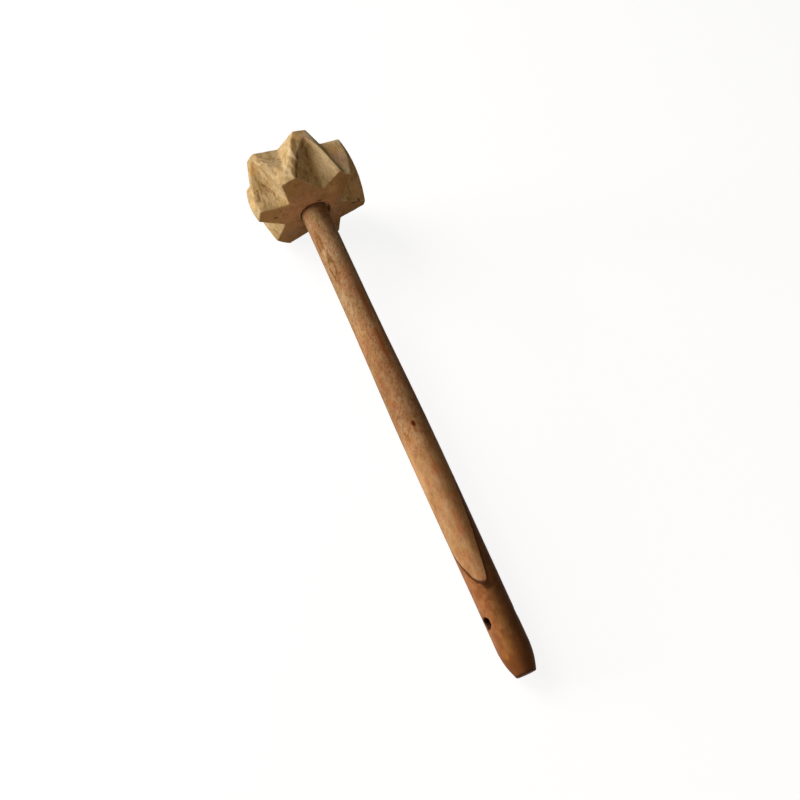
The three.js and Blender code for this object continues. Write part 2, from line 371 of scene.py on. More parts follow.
# Tones over the sapwood
SAP_BLOTCH_EDGE = (0.36, 0.64)
SAP_TONES = (
    (SAP_PINK, "warmth", 0.52, 0.66, 0.75),
    (SAP_YELLOW, "warmth", 0.47, 0.33, 0.65),
    (SAP_ORANGE, "patches", 0.53, 0.66, 0.5),
)
SAP_GLINTS = (
    (SAP_YELLOW, "grains", 0.47, 0.36, 0.4),
)
SAP_PORES = (
    (SAP_FLECK, "pores", 0.55, 0.72, 0.3),
)

# Its grain and flecks: how strongly each shows, by how much less where it is calm, and how high up
SAP_GRAIN_EDGE = (0.51, 0.62)
SAP_GRAIN_SHARE = 0.5
SAP_GRAIN_CALMED_BY = 0.28
SAP_GRAIN_CALM_FROM = (185, 215)
FLECK_EDGE = (0.5, 0.66)
FLECK_SHARE = 0.6
FLECK_CALMED_BY = 0.35
FLECK_CALM_FROM = (188, 215)

# Where the sapwood is darker or lighter, by height, and round the handle from -1, left, to 1, right: the
# right in painted shade and the left in painted light
NECK_SHADE_HEIGHT = (130, 105)
MIDDLE_SHADE_STARTS = (115, 150)
MIDDLE_SHADE_ENDS = (200, 178)
RIGHT_PAINTED_SHADE_HEIGHT = (160, 195)
RIGHT_PAINTED_SHADE_ROUND = (-0.25, 0.6)
LEFT_PAINTED_LIGHT_ROUND = (-0.5, -0.95)
LEFT_PAINTED_LIGHT_LENGTH = (
    ((-11.0, 210.0), (14.0, 20.0), 0.0),
)
LEFT_PAINTED_LIGHT_STRENGTH = 0.5

# Marks on the unrolled handle, round from its upper line and up: middle, half sizes and lean
HANDLE_MEAN_RADIUS = 8.5
HANDLE_KNOTS = (
    ((1.1, 185.5), (1.4, 2.6), 0.1),
)
FAINT_KNOTS = (
    ((0.7, 189.0), (1.2, 2.6), 0.1),
    ((-5.4, 189.0), (0.8, 3.0), -0.35),
    ((-4.2, 190.4), (0.7, 2.4), 0.4),
    ((-2.8, 67.6), (0.9, 1.3), 0.3),
    ((-3.4, 69.9), (0.8, 1.8), -0.4),
    ((0.9, 106.5), (0.6, 2.4), 0.2),
    ((0.3, 110.1), (0.9, 1.2), 0.0),
)
HANDLE_STREAKS = (
    ((4.0, 137.0), (1.8, 18.0), 0.01),
    ((5.4, 105.6), (2.7, 24.0), 0.03),
    ((-2.2, 78.3), (0.7, 6.0), 0.0),
)
YELLOW_HEART = (
    ((0.5, 294.0), (2.6, 13.0), 0.0),
    ((-2.0, 306.0), (3.0, 6.0), 0.0),
)
OCHRE_SPOT = (
    ((-5.6, 310.6), (1.7, 2.2), 0.0),
)
SMUDGE = (
    ((1.1, 276.6), (3.2, 3.2), 0.0),
)

# How these marks are laid: colour, marks, size of the core, strength
STREAK_LAYERS = (
    (STREAK_BROWN, HANDLE_STREAKS, 0.3, 0.7),
)
KNOT_LAYERS = (
    (KNOT_FAINT, FAINT_KNOTS, 0.3, 0.6),
    (KNOT_FAINT, HANDLE_KNOTS, 0.5, 0.9),
    (KNOT_BROWN, HANDLE_KNOTS, 0.2, 0.95),
)
YELLOW_LAYERS = (
    (HEART_YELLOW, YELLOW_HEART, 0.3, 0.45),
)
OCHRE_LAYERS = (
    (HEART_OCHRE, OCHRE_SPOT, 0.3, 0.55),
)
SMUDGE_LAYERS = (
    (SMUDGE_BROWN, SMUDGE, 0.3, 0.85),
)

# Loops of darker grain: middle, half sizes, lean, how far up each shows, strength
HANDLE_LOOPS = (
    ((-5.7, 61.3), (1.7, 7.2), 0.05, 65.5, 0.95),
    ((-4.3, 79.6), (2.0, 7.6), 0.05, 95.0, 0.95),
    ((-2.6, 186.7), (5.2, 7.5), 0.0, 181.0, 0.42),
)
LOOP_LINE_EDGE = (0.6, 0.15)
LOOP_LINE_SHARE = 0.75
LOOP_INSIDE_EDGE = (1.2, 0.8)
LOOP_INSIDE_SHARE = 0.3
LOOP_BREAKS = 0.8
LOOP_GAP_EDGE = (0.36, 0.5)
LOOP_FADE = 1.5

# Where the pale sapwood ends: a tongue on the handle's upper side
TONGUE_TOWARDS = math.radians(201.7)
TONGUE_TIP = 275.0
TONGUE_TURN = 0.15
TONGUE_CURVE = 22.0
TONGUE_SLANT_FROM = 0.12
TONGUE_SLANT = 66.7
TONGUE_SLANT_POWER = 1.8
TONGUE_WOBBLE = 4.0
TONGUE_WOBBLE_NOISE = (4.0, 2, 0.5, 11)
TONGUE_WOBBLE_LENGTHENED = (1, 0.4, 1)

# The tongue's dark edge, by the distance past it: soft on the tongue's side, wide on the handle's right
TONGUE_EDGE = (-0.6, 0.6)
EDGE_LINE_STARTS = (-1.7, -0.3)
EDGE_LINE_FULL = 0.5
EDGE_LINE_WIDTH = 2.2
EDGE_LINE_WIDENS = (0.1, 0.5)
EDGE_LINE_WIDER_BY = 8.0
EDGE_LINE_STRENGTH = 0.85

# Tones over the heartwood
HEART_MOTTLE_EDGE = (0.42, 0.6)
HEART_TONES = (
    (HEART_BROWN, "blotches", 0.5, 0.62, 0.4),
    (HEART_RED, "warmth", 0.48, 0.68, 0.6),
)
# Then pores, painted light on the left, redder towards the tip, painted shade on the right, darker towards
# the tip, and a dark line round the end's rim
HEART_GRAIN_AND_PAINTED_SHADING = (
    (HEART_DARK, "pores", 0.52, 0.7, 0.3),
    (HEART_PAINTED_LIGHT, "aside", -0.5, -1.0, 0.5),
    (HEART_RED, "height", 300, 314, 0.6),
    (HEART_PAINTED_SHADE_AND_RIM, "aside", -0.8, 0.6, 0.7),
    (HEART_DARK, "height", 307, 319, 0.45),
    (HEART_PAINTED_SHADE_AND_RIM, "height", 319.2, 320.4, 0.7),
)

# The handle's surface: where it is darker on the end grain and on the edges that stand out, the painted
# shade inside its hole, its relief and dullness
HANDLE_DARK_END_AND_EDGES = (
    (HEART_DARK, "end_grain", 0.8, 0.98, 0.6),
    (HEART_DARK, "stands_out", 0.06, 0.2, 0.3),
)
# The hole, whose inside and rim are painted nearly black as painted shade
HOLE_MIDDLE = (-0.9, 0.0, 292.7)
HOLE_REACH = (3.05, 100.0, 3.05)
HOLE_EDGE = (1.08, 0.98)
HOLE_STRENGTH = 0.95
HANDLE_RELIEF = {"flecks": -0.8, "pores": -0.4}
HANDLE_GRAIN_DEPTH = 0.16 * MILLIMETRE
HANDLE_ROUGHNESS = 0.5
HANDLE_ROUGHNESS_SPREAD = 0.2

# Its gloss, and how much of it the handle has below the stretch that the palms polish
HANDLE_GLOSS = 0.06
POLISH_EDGE = (175, 205)
POLISH_BELOW = 0.4

# The wedge's surface
WEDGE_PORE_NOISE = {
    "pores": (1.0, 0.5, 3, 0.5, 31),
}
WEDGE_BAND_NOISE = {
    "bands": (1.0, 1.6, 3, 0.5, 32),
}
WEDGE_BANDS_LENGTHENED = (1, 0.3, 1)
WEDGE_BAND_EDGE = (0.35, 0.65)
WEDGE_TONES = (
    (HEART_DARK, "pores", 0.5, 0.7, 0.6),
)
WEDGE_RELIEF = {"pores": 1.0}
WEDGE_ROUGHNESS = 0.8


# The stick's own axes

def mount_named(name):
    return next(m for m in frame["record"]["mounts"] if m["name"] == name)


def stick_place():
    """The matrix that lays the upright stick on the table: its axis is Z, and its far face at 0."""
    end = mount_named("handle_end_face")
    axis = Vector(end["axis"]).normalized()
    foot = Vector(end["pos_m"]) - STICK_LENGTH * axis
    across = Vector((0, 1, 0))
    down = across.cross(axis).normalized()
    turn = Matrix((down, across, axis)).transposed()
    return Matrix.Translation(foot) @ turn.to_4x4()


STICK_PLACE = stick_place()
STICK_AXIS = STICK_PLACE.to_3x3() @ Vector((0, 0, 1))


# Worn wooden pieces

def merged_copy(node, name):
    """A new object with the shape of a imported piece, its loose triangles merged into one closed mesh."""
    shape = bmesh.new()
    shape.from_mesh(frame["nodes"][node].data)
    bmesh.ops.remove_doubles(shape, verts=shape.verts, dist=WELD_DISTANCE)
    bmesh.ops.recalc_face_normals(shape, faces=shape.faces)
    mesh = bpy.data.meshes.new(name)
    shape.to_mesh(mesh)
    shape.free()
    piece = bpy.data.objects.new(name, mesh)
    bpy.context.scene.collection.objects.link(piece)
    return piece


def refine(piece, grid):
    """Turns the piece's few large faces into an even grid of small ones."""
    remesh = piece.modifiers.new("even grid", "REMESH")
    remesh.mode = "VOXEL"
    remesh.voxel_size = grid
    remesh.use_smooth_shade = True
    fine = bpy.data.meshes.new_from_object(piece.evaluated_get(bpy.context.evaluated_depsgraph_get()))
    piece.modifiers.clear()
    coarse = piece.data
    piece.data = fine
    fine.name = piece.name
    bpy.data.meshes.remove(coarse)


def round_over(shape, passes):
    """Takes the sharpness off every edge, as sanding and use do."""
    for _ in range(passes):
        bmesh.ops.smooth_vert(
            shape, verts=shape.verts, factor=ROUNDING_STEP,
            use_axis_x=True, use_axis_y=True, use_axis_z=True,
        )


def cut_by_hand(shape, waves, seed):
    """Sinks the surface here and there by less than a quarter of a millimetre, as a blade leaves it."""
    shape.normal_update()
    offset = Vector((seed, 2 * seed, 3 * seed))
    for vert in shape.verts:
        sunk = sum(depth * (1 + noise.noise(vert.co / length + offset)) / 2 for length, depth in waves)
        vert.co -= vert.normal * sunk


def corners_of(shape):
    return np.array([vert.co for vert in shape.verts])


def mark_wear(piece, shape):
    """Stores how far each point stands out from its neighbours, and how much end grain shows there."""
    shape.normal_update()
    worn = corners_of(shape)
    normals = np.array([vert.normal for vert in shape.verts])
    softened = shape.copy()
    round_over(softened, WEAR_SEARCH_PASSES)
    stands_out = ((worn - corners_of(softened)) * normals).sum(axis=1) / MILLIMETRE
    softened.free()
    end_grain = np.abs(normals @ np.array(STICK_AXIS))
    shape.to_mesh(piece.data)
    for name, values in (("stands_out", stands_out), ("end_grain", end_grain)):
        attribute = piece.data.attributes.new(name, "FLOAT", "POINT")
        attribute.data.foreach_set("value", values.astype(np.float32))


def worn_piece(node, name, grid, rounding, waves, seed):
    """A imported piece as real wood: finely meshed, with softened edges and a surface cut by hand."""
    piece = merged_copy(node, name)
    refine(piece, grid)
    shape = bmesh.new()
    shape.from_mesh(piece.data)
    round_over(shape, rounding)
    cut_by_hand(shape, waves, seed)
    mark_wear(piece, shape)
    shape.free()
    for face in piece.data.polygons:
        face.use_smooth = True
    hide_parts(node)
    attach(piece, "root")
    return piece


# Materials

# Sockets of a Mix node that is set to colour, since its names stand for several
MIX_FIRST_COLOUR = 6
MIX_SECOND_COLOUR = 7
MIX_COLOUR = 2


class Finish:
    """A material in the making: each call adds one or a few nodes and returns what they give."""

    def __init__(self, name):
        self.material = bpy.data.materials.new(name)
        self.material.use_nodes = True
        self.tree = self.material.node_tree
        self.shader = self.tree.nodes["Principled BSDF"]

    def add(self, kind, **settings):
        node = self.tree.nodes.new(kind)
        for key, value in settings.items():
            setattr(node, key, value)
        return node

    def feed(self, socket, value):
        if isinstance(value, bpy.types.NodeSocket):
            self.tree.links.new(value, socket)
        else:
            socket.default_value = value

    def number(self, operation, first, second=0.0):
        node = self.add("ShaderNodeMath", operation=operation)
        self.feed(node.inputs[0], first)
        self.feed(node.inputs[1], second)
        return node.outputs[0]

    def plus(self, first, second):
        return self.number("ADD", first, second)

    def minus(self, first, second):
        return self.number("SUBTRACT", first, second)

    def times(self, first, second):
        return self.number("MULTIPLY", first, second)

    def largest(self, values):
        most = values[0]
        for value in values[1:]:
            most = self.number("MAXIMUM", most, value)
        return most

    def vector(self, operation, first, second):
        node = self.add("ShaderNodeVectorMath", operation=operation)
        self.feed(node.inputs[0], first)
        self.feed(node.inputs[1], second)
        return node.outputs["Value"] if operation == "DOT_PRODUCT" else node.outputs[0]

    def length(self, vector):
        node = self.add("ShaderNodeVectorMath", operation="LENGTH")
        self.feed(node.inputs[0], vector)
        return node.outputs["Value"]

    def off_axis(self, place):
        return self.length(self.vector("MULTIPLY", place, (1, 1, 0)))

    def parts(self, vector):
        node = self.add("ShaderNodeSeparateXYZ")
        self.feed(node.inputs[0], vector)
        return node.outputs

    def whole(self, x, y, z):
        node = self.add("ShaderNodeCombineXYZ")
        for socket, value in zip(node.inputs, (x, y, z)):
            self.feed(socket, value)
        return node.outputs[0]

    def placed(self, place, location, rotation, scale):
        """Where a place lies in a frame of its own, which is moved, turned and scaled like this."""
        node = self.add("ShaderNodeMapping", vector_type="TEXTURE")
        self.feed(node.inputs["Vector"], place)
        node.inputs["Location"].default_value = location
        node.inputs["Rotation"].default_value = rotation
        node.inputs["Scale"].default_value = scale
        return node.outputs["Vector"]

    def stick_millimetres(self):
        """Where a point lies on the upright stick: Z is its height from the head's far face."""
        place = self.add("ShaderNodeTexCoord").outputs["Object"]
        return self.placed(place, STICK_PLACE.to_translation(), STICK_PLACE.to_euler(), (MILLIMETRE,) * 3)

    def stored(self, name):
        return self.add("ShaderNodeAttribute", attribute_name=name).outputs["Fac"]

    def noise(self, place, size, detail, roughness, seed):
        """Noise with lumps of this size in millimetres; seed moves it, so that no two are alike."""
        node = self.add("ShaderNodeTexNoise", noise_dimensions="4D")
        self.feed(node.inputs["Vector"], place)
        self.feed(node.inputs["W"], seed)
        self.feed(node.inputs["Scale"], 1 / size)
        self.feed(node.inputs["Detail"], detail)
        self.feed(node.inputs["Roughness"], roughness)
        return node.outputs

    def fields(self, place, table):
        """A field of noise for each row of a table, by its name."""
        found = {}
        for name, (drawn_out, *kind) in table.items():
            stretched = self.vector("MULTIPLY", place, (1, 1, 1 / drawn_out))
            found[name] = self.noise(stretched, *kind)["Fac"]
        return found

    def shaken(self, place, reach, *kind):
        """The same place moved about by up to half this reach, so that no line runs dead straight."""
        away = self.vector("SUBTRACT", self.noise(place, *kind)["Color"], (0.5, 0.5, 0.5))
        return self.vector("ADD", place, self.vector("MULTIPLY", away, (reach,) * 3))

    def between(self, value, low, high):
        """0 up to low, 1 from high on, and a smooth step from one to the other."""
        node = self.add("ShaderNodeMapRange", interpolation_type="SMOOTHSTEP")
        self.feed(node.inputs["Value"], value)
        self.feed(node.inputs["From Min"], low)
        self.feed(node.inputs["From Max"], high)
        return node.outputs["Result"]

    def mix(self, share, first, second, blend="MIX"):
        node = self.add("ShaderNodeMix", data_type="RGBA", blend_type=blend, clamp_factor=True)
        self.feed(node.inputs["Factor"], share)
        self.feed(node.inputs[MIX_FIRST_COLOUR], first)
        self.feed(node.inputs[MIX_SECOND_COLOUR], second)
        return node.outputs[MIX_COLOUR]

    def tinted(self, colour, towards, share, strength=1.0):
        """The colour drawn towards another one by this share of this strength."""
        return self.mix(self.times(share, strength), colour, towards)

    def shaded(self, colour, shade, share):
        """The colour multiplied by a shade where the share is 1."""
        return self.mix(share, colour, shade, "MULTIPLY")

    def toned(self, colour, fields, tones):
        """The colour under a table of tones, each of which follows a field."""
        for towards, field, low, high, strength in tones:
            colour = self.tinted(colour, towards, self.between(fields[field], low, high), strength)
        return colour

    def stained(self, colour, place, layers):
        """The colour under a table of stains."""
        for towards, spots, strength in layers:
            colour = self.tinted(colour, towards, self.stains(place, spots), strength)
        return colour

    def marked(self, colour, unrolled, layers):
        """The colour under a table of marks on the unrolled handle."""
        for towards, spots, core, strength in layers:
            colour = self.tinted(colour, towards, self.marks(unrolled, spots, core), strength)
        return colour

    def reach(self, place, middle, size, lean=0.0):
        """How far a point is from a spot's middle, where 1 is the spot's edge."""
        return self.length(self.placed(place, middle, (0, 0, lean), size))

    def stains(self, place, spots, core=STAIN_CORE):
        """1 in the core of each of these spots, fading out to 0 at its edge."""
        return self.largest([self.between(self.reach(place, *spot), 1.0, core) for spot in spots])

    def marks(self, unrolled, spots, core=STAIN_CORE):
        """The same for spots on the unrolled handle, which also lean."""
        flat = [((*middle, 0), (*size, 1), lean) for middle, size, lean in spots]
        return self.stains(unrolled, flat, core)

    def relief(self, fields, heights, depth):
        """Raises or sinks the surface by the sum of these fields, where 1 is the depth in metres."""
        total = 0.0
        for field, height in heights.items():
            total = self.plus(total, self.times(fields[field], height))
        node = self.add("ShaderNodeBump")
        self.feed(node.inputs["Height"], total)
        node.inputs["Strength"].default_value = 1.0
        node.inputs["Distance"].default_value = depth
        return node.outputs["Normal"]

    def surface(self, colour, roughness, normal, gloss):
        self.feed(self.shader.inputs["Base Color"], colour)
        self.feed(self.shader.inputs["Roughness"], roughness)
        self.feed(self.shader.inputs["Normal"], normal)
        self.feed(self.shader.inputs["Specular IOR Level"], gloss)
        return self.material


def head_rings(finish, place, fields):
    """Growth rings, clear in patches and where RING_LINES puts them."""
    from_pith = finish.off_axis(finish.vector("SUBTRACT", place, (*HEAD_PITH, 0)))
    outward = finish.plus(from_pith, finish.times(fields["ring wander"], RING_WANDER))
    ring = finish.between(finish.number("FRACT", finish.number("DIVIDE", outward, RING_WIDTH)), *RING_EDGE)
    patches = finish.times(finish.between(fields["ring patches"], *RING_PATCH_EDGE), RING_PATCH_SHARE)
    return finish.times(ring, finish.largest([patches, finish.stains(place, RING_LINES)]))


def head_walls(finish, place, shaken, fields):
    """The walls' wood: mottled straw with stains, brown streaks, rings and pores."""
    colour = finish.mix(finish.between(fields["blotches"], *WALL_BLOTCH_EDGE), HEAD_CREAM, HEAD_STRAW)
    colour = finish.toned(colour, fields, WALL_TONES)
    # Pale patches, some of them painted light on walls and a ridge edge that the lamps leave dark
    colour = finish.stained(colour, shaken, PALE_AND_PAINTED_LIGHT_LAYERS)
    # Painted shade down the top point's ridge
    ridge = finish.stains(place, RIDGE_PAINTED_SHADE, RIDGE_PAINTED_SHADE_CORE)
    colour = finish.tinted(colour, HEAD_PAINTED_SHADE, ridge, RIDGE_PAINTED_SHADE_STRENGTH)
    in_olive = finish.stains(shaken, OLIVE_STAINS)
    colour = finish.tinted(colour, HEAD_OLIVE, in_olive, OLIVE_STRENGTH)
    colour = finish.stained(colour, shaken, WARM_LAYERS)
    colour = finish.toned(colour, fields, WALL_SPECKLE)
    streak_share = finish.plus(finish.times(in_olive, STREAK_SHARE_IN_OLIVE), STREAK_SHARE)
    streak = finish.times(finish.between(fields["streaks"], *STREAK_EDGE), streak_share)
    colour = finish.mix(streak, colour, HEAD_BROWN)
    colour = finish.tinted(colour, HEAD_BROWN, fields["ring"], RING_STRENGTH)
    colour = finish.toned(colour, fields, WALL_PORES)
    in_dark = finish.stains(shaken, DARK_STREAKS)
    dark = finish.times(in_dark, finish.between(fields["streaks"], *DARK_STREAK_EDGE))
    return finish.tinted(colour, HEAD_BROWN, dark, DARK_STREAK_STRENGTH)


def star_face(finish, place, shaken, fields):
    """The star faces' end grain: brown, redder towards the mouth, and under painted light on the left and
    painted shade on the right.
    """
    wandering = finish.plus(finish.off_axis(place), finish.times(fields["blotches"], REDDISH_WANDER))
    colour = finish.mix(finish.between(wandering, *REDDISH_EDGE), END_GRAIN_BROWN, END_GRAIN_RED)
    colour = finish.toned(colour, fields, FACE_TONES)
    colour = finish.stained(colour, shaken, FACE_LAYERS)
    # Painted light on the faces' left and painted shade on their right, then grain
    colour = finish.toned(colour, fields, FACE_GRAIN_AND_PAINTED_SHADING)
    return finish.stained(colour, shaken, FACE_STREAKS)


def head_wood():
    """Straw-coloured wood: mottled walls with rings, dark pores and patches of painted light and shade,
    redder end grain on its faces, and edges paler in wear and painted highlight.
    """
    finish = Finish("head wood")
    place = finish.stick_millimetres()
    shaken = finish.shaken(place, *HEAD_SHAKE)
    fields = finish.fields(shaken, HEAD_NOISE) | finish.fields(place, HEAD_FINE_NOISE)
    # The place across the stick, which the star faces' painted light and shade follow
    fields["across"] = finish.parts(place)[1]
    fields["ring"] = head_rings(finish, place, fields)
    fields["stands_out"] = finish.stored("stands_out")
    fields["worn"] = finish.plus(fields["stands_out"], finish.times(fields["speckle"], WEAR_SPECKLE))

    walls = head_walls(finish, place, shaken, fields)
    face = star_face(finish, place, shaken, fields)
    end_grain = finish.between(finish.stored("end_grain"), *HEAD_END_GRAIN_EDGE)
    colour = finish.tinted(walls, face, end_grain, HEAD_END_GRAIN_STRENGTH)
    colour = finish.tinted(colour, HEAD_SPOT, finish.stains(shaken, DARK_SPOTS), DARK_SPOT_STRENGTH)
    # Paler edges, in wear and painted highlight, and darker hollows
    colour = finish.toned(colour, fields, HEAD_EDGES_AND_HOLLOWS)
    roughness = finish.plus(finish.times(fields["blotches"], HEAD_ROUGHNESS_SPREAD), HEAD_ROUGHNESS)
    normal = finish.relief(fields, HEAD_RELIEF, HEAD_GRAIN_DEPTH)
    return finish.surface(colour, roughness, normal, HEAD_GLOSS)


def turn_from_top(finish, place):
    """The angle round the stick from its uppermost line, in radians, and larger to the right."""
    ahead = (math.cos(TONGUE_TOWARDS), math.sin(TONGUE_TOWARDS), 0)
    aside = (math.sin(TONGUE_TOWARDS), -math.cos(TONGUE_TOWARDS), 0)
    over = finish.vector("DOT_PRODUCT", place, aside)
    up = finish.vector("DOT_PRODUCT", place, ahead)
    return finish.number("ARCTAN2", over, up)


def slanted(finish, place):
    """The same place, with lines along the stick now leaning round it, as the flecks do."""
    turn = finish.add("ShaderNodeVectorRotate", rotation_type="Z_AXIS")
    finish.feed(turn.inputs["Vector"], place)
    finish.feed(turn.inputs["Angle"], finish.times(finish.parts(place)[2], FLECK_SLANT))
    return turn.outputs[0]


def past_tongue(finish, unrolled, turned_by, fields):
    """How far past the end of the pale sapwood a point lies, in millimetres up the stick.

    The sapwood ends in a tongue on the handle's upper side, and nearer the head on the handle's right.
    """
    ahead = finish.number("COSINE", finish.minus(turned_by, TONGUE_TURN))
    back = finish.times(finish.minus(1.0, ahead), TONGUE_CURVE)
    to_right = finish.number("MAXIMUM", finish.minus(fields["aside"], TONGUE_SLANT_FROM), 0.0)
    slant = finish.times(finish.number("POWER", to_right, TONGUE_SLANT_POWER), TONGUE_SLANT)
    edge = finish.minus(TONGUE_TIP, finish.plus(back, slant))
    lengthened = finish.vector("MULTIPLY", unrolled, TONGUE_WOBBLE_LENGTHENED)
    wobble = finish.noise(lengthened, *TONGUE_WOBBLE_NOISE)["Fac"]
    past = finish.minus(finish.parts(unrolled)[1], edge)
    return finish.plus(past, finish.times(finish.minus(wobble, 0.5), TONGUE_WOBBLE))


def loops(finish, unrolled, fields):
    """Long broken loops of darker grain, where the turning has sliced through a swelling of the rings."""
    height = finish.parts(unrolled)[1]
    breaks = finish.times(finish.minus(fields["loop breaks"], 0.5), LOOP_BREAKS)
    gaps = finish.between(fields["loop gaps"], *LOOP_GAP_EDGE)
    lines = []
    for middle, size, lean, top, strength in HANDLE_LOOPS:
        reach = finish.plus(finish.reach(unrolled, (*middle, 0), (*size, 1), lean), breaks)
        off_line = finish.number("ABSOLUTE", finish.minus(reach, 1.0))
        inside = finish.times(finish.between(reach, *LOOP_INSIDE_EDGE), LOOP_INSIDE_SHARE)
        line = finish.times(finish.between(off_line, *LOOP_LINE_EDGE), finish.times(gaps, LOOP_LINE_SHARE))
        shown = finish.times(finish.between(height, top + LOOP_FADE, top - LOOP_FADE), strength)
        lines.append(finish.times(finish.plus(line, inside), shown))
    return finish.largest(lines)


def calmed(finish, field, edge, share, by, calm):
    """How strongly a field shows: with this share, which falls by this much where the wood is calm."""
    return finish.times(finish.between(field, *edge), finish.minus(share, finish.times(calm, by)))


def sapwood(finish, unrolled, fields):
    """The pale outer wood: tan with patches of yellow, orange and pink, flecks, loops and knots, with
    painted shade on its right and painted light on its left.
    """
    height = finish.parts(unrolled)[1]
    aside = fields["aside"]
    colour = finish.mix(finish.between(fields["blotches"], *SAP_BLOTCH_EDGE), SAP_PALE, SAP_TAN)
    colour = finish.toned(colour, fields, SAP_TONES)
    calm = finish.between(height, *SAP_GRAIN_CALM_FROM)
    grain = calmed(finish, fields["grains"], SAP_GRAIN_EDGE, SAP_GRAIN_SHARE, SAP_GRAIN_CALMED_BY, calm)
    colour = finish.mix(grain, colour, SAP_FLECK)
    colour = finish.toned(colour, fields, SAP_GLINTS)
    colour = finish.shaded(colour, NECK_SHADE, finish.between(height, *NECK_SHADE_HEIGHT))
    starts = finish.between(height, *MIDDLE_SHADE_STARTS)
    middle = finish.times(starts, finish.between(height, *MIDDLE_SHADE_ENDS))
    colour = finish.shaded(colour, MIDDLE_SHADE, middle)
    # Painted shade on the handle's right
    to_right = finish.between(aside, *RIGHT_PAINTED_SHADE_ROUND)
    right = finish.times(to_right, finish.between(height, *RIGHT_PAINTED_SHADE_HEIGHT))
    colour = finish.shaded(colour, RIGHT_PAINTED_SHADE, right)
    # Painted light on the handle's left
    to_left = finish.between(aside, *LEFT_PAINTED_LIGHT_ROUND)
    left = finish.times(to_left, finish.marks(unrolled, LEFT_PAINTED_LIGHT_LENGTH))
    colour = finish.tinted(colour, SAP_PAINTED_LIGHT, left, LEFT_PAINTED_LIGHT_STRENGTH)
    calm = finish.between(height, *FLECK_CALM_FROM)
    fleck = calmed(finish, fields["flecks"], FLECK_EDGE, FLECK_SHARE, FLECK_CALMED_BY, calm)
    colour = finish.mix(fleck, colour, SAP_FLECK)
    colour = finish.toned(colour, fields, SAP_PORES)
    colour = finish.marked(colour, unrolled, STREAK_LAYERS)
    colour = finish.tinted(colour, LOOP_BROWN, loops(finish, unrolled, fields))
    return finish.marked(colour, unrolled, KNOT_LAYERS)


def heartwood(finish, unrolled, fields):
    """The brown inner wood at the handle's end, mottled orange, with painted light on the left and painted
    shade on the right, and darker at the tip.
    """
    colour = finish.mix(finish.between(fields["mottle"], *HEART_MOTTLE_EDGE), HEART_ORANGE, HEART_BROWN)
    colour = finish.toned(colour, fields, HEART_TONES)
    colour = finish.marked(colour, unrolled, YELLOW_LAYERS)
    colour = finish.toned(colour, fields, HEART_GRAIN_AND_PAINTED_SHADING)
    return finish.marked(colour, unrolled, OCHRE_LAYERS)


def handle_wood():
    """Tan sapwood with slanting flecks, ending in a dark-edged tongue on brown heartwood."""
    finish = Finish("handle wood")
    place = finish.stick_millimetres()
    shaken = finish.shaken(place, *HANDLE_SHAKE)
    turned_by = turn_from_top(finish, shaken)
    height = finish.parts(shaken)[2]
    unrolled = finish.whole(finish.times(turned_by, HANDLE_MEAN_RADIUS), height, 0.0)
    fields = finish.fields(shaken, HANDLE_NOISE) | finish.fields(slanted(finish, place), FLECK_NOISE)
    fields |= finish.fields(place, PORE_NOISE) | finish.fields(unrolled, UNROLLED_NOISE)
    fields["height"] = height
    fields["aside"] = finish.number("SINE", turned_by)
    fields["end_grain"] = finish.stored("end_grain")
    fields["stands_out"] = finish.stored("stands_out")

    sap = sapwood(finish, unrolled, fields)
    heart = heartwood(finish, unrolled, fields)
    past = past_tongue(finish, unrolled, turned_by, fields)
    colour = finish.mix(finish.between(past, *TONGUE_EDGE), sap, heart)
    wider = finish.times(finish.between(fields["aside"], *EDGE_LINE_WIDENS), EDGE_LINE_WIDER_BY)
    ends = finish.between(past, finish.plus(wider, EDGE_LINE_WIDTH), EDGE_LINE_FULL)
    line = finish.times(finish.between(past, *EDGE_LINE_STARTS), ends)
    colour = finish.tinted(colour, HEART_LINE, line, EDGE_LINE_STRENGTH)
    colour = finish.marked(colour, unrolled, SMUDGE_LAYERS)
    colour = finish.toned(colour, fields, HANDLE_DARK_END_AND_EDGES)
    # Painted shade inside the hole
    in_hole = finish.between(finish.reach(place, HOLE_MIDDLE, HOLE_REACH), *HOLE_EDGE)
    colour = finish.tinted(colour, HOLE_PAINTED_SHADE, in_hole, HOLE_STRENGTH)
    roughness = finish.plus(finish.times(fields["flecks"], HANDLE_ROUGHNESS_SPREAD), HANDLE_ROUGHNESS)
    normal = finish.relief(fields, HANDLE_RELIEF, HANDLE_GRAIN_DEPTH)
    more = finish.times(finish.between(height, *POLISH_EDGE), 1 - POLISH_BELOW)
    polish = finish.times(finish.plus(more, POLISH_BELOW), finish.minus(1.0, in_hole))
    return finish.surface(colour, roughness, normal, finish.times(polish, HANDLE_GLOSS))


def wedge_wood():
    """A sliver of darker wood, its end grain showing."""
    finish = Finish("wedge wood")
    place = finish.stick_millimetres()
    lengthened = finish.vector("MULTIPLY", place, WEDGE_BANDS_LENGTHENED)
    fields = finish.fields(place, WEDGE_PORE_NOISE) | finish.fields(lengthened, WEDGE_BAND_NOISE)
    colour = finish.mix(finish.between(fields["bands"], *WEDGE_BAND_EDGE), WEDGE_LIGHT, WEDGE_DARK)
    colour = finish.toned(colour, fields, WEDGE_TONES)
    normal = finish.relief(fields, WEDGE_RELIEF, HEAD_GRAIN_DEPTH)
    return finish.surface(colour, WEDGE_ROUGHNESS, normal, HEAD_GLOSS)


# Pieces

def star_head():
    piece = worn_piece("churn_head", "star_head", HEAD_GRID, HEAD_ROUNDING, HEAD_WAVES, HEAD_WAVE_SEED)
    piece.data.materials.append(head_wood())


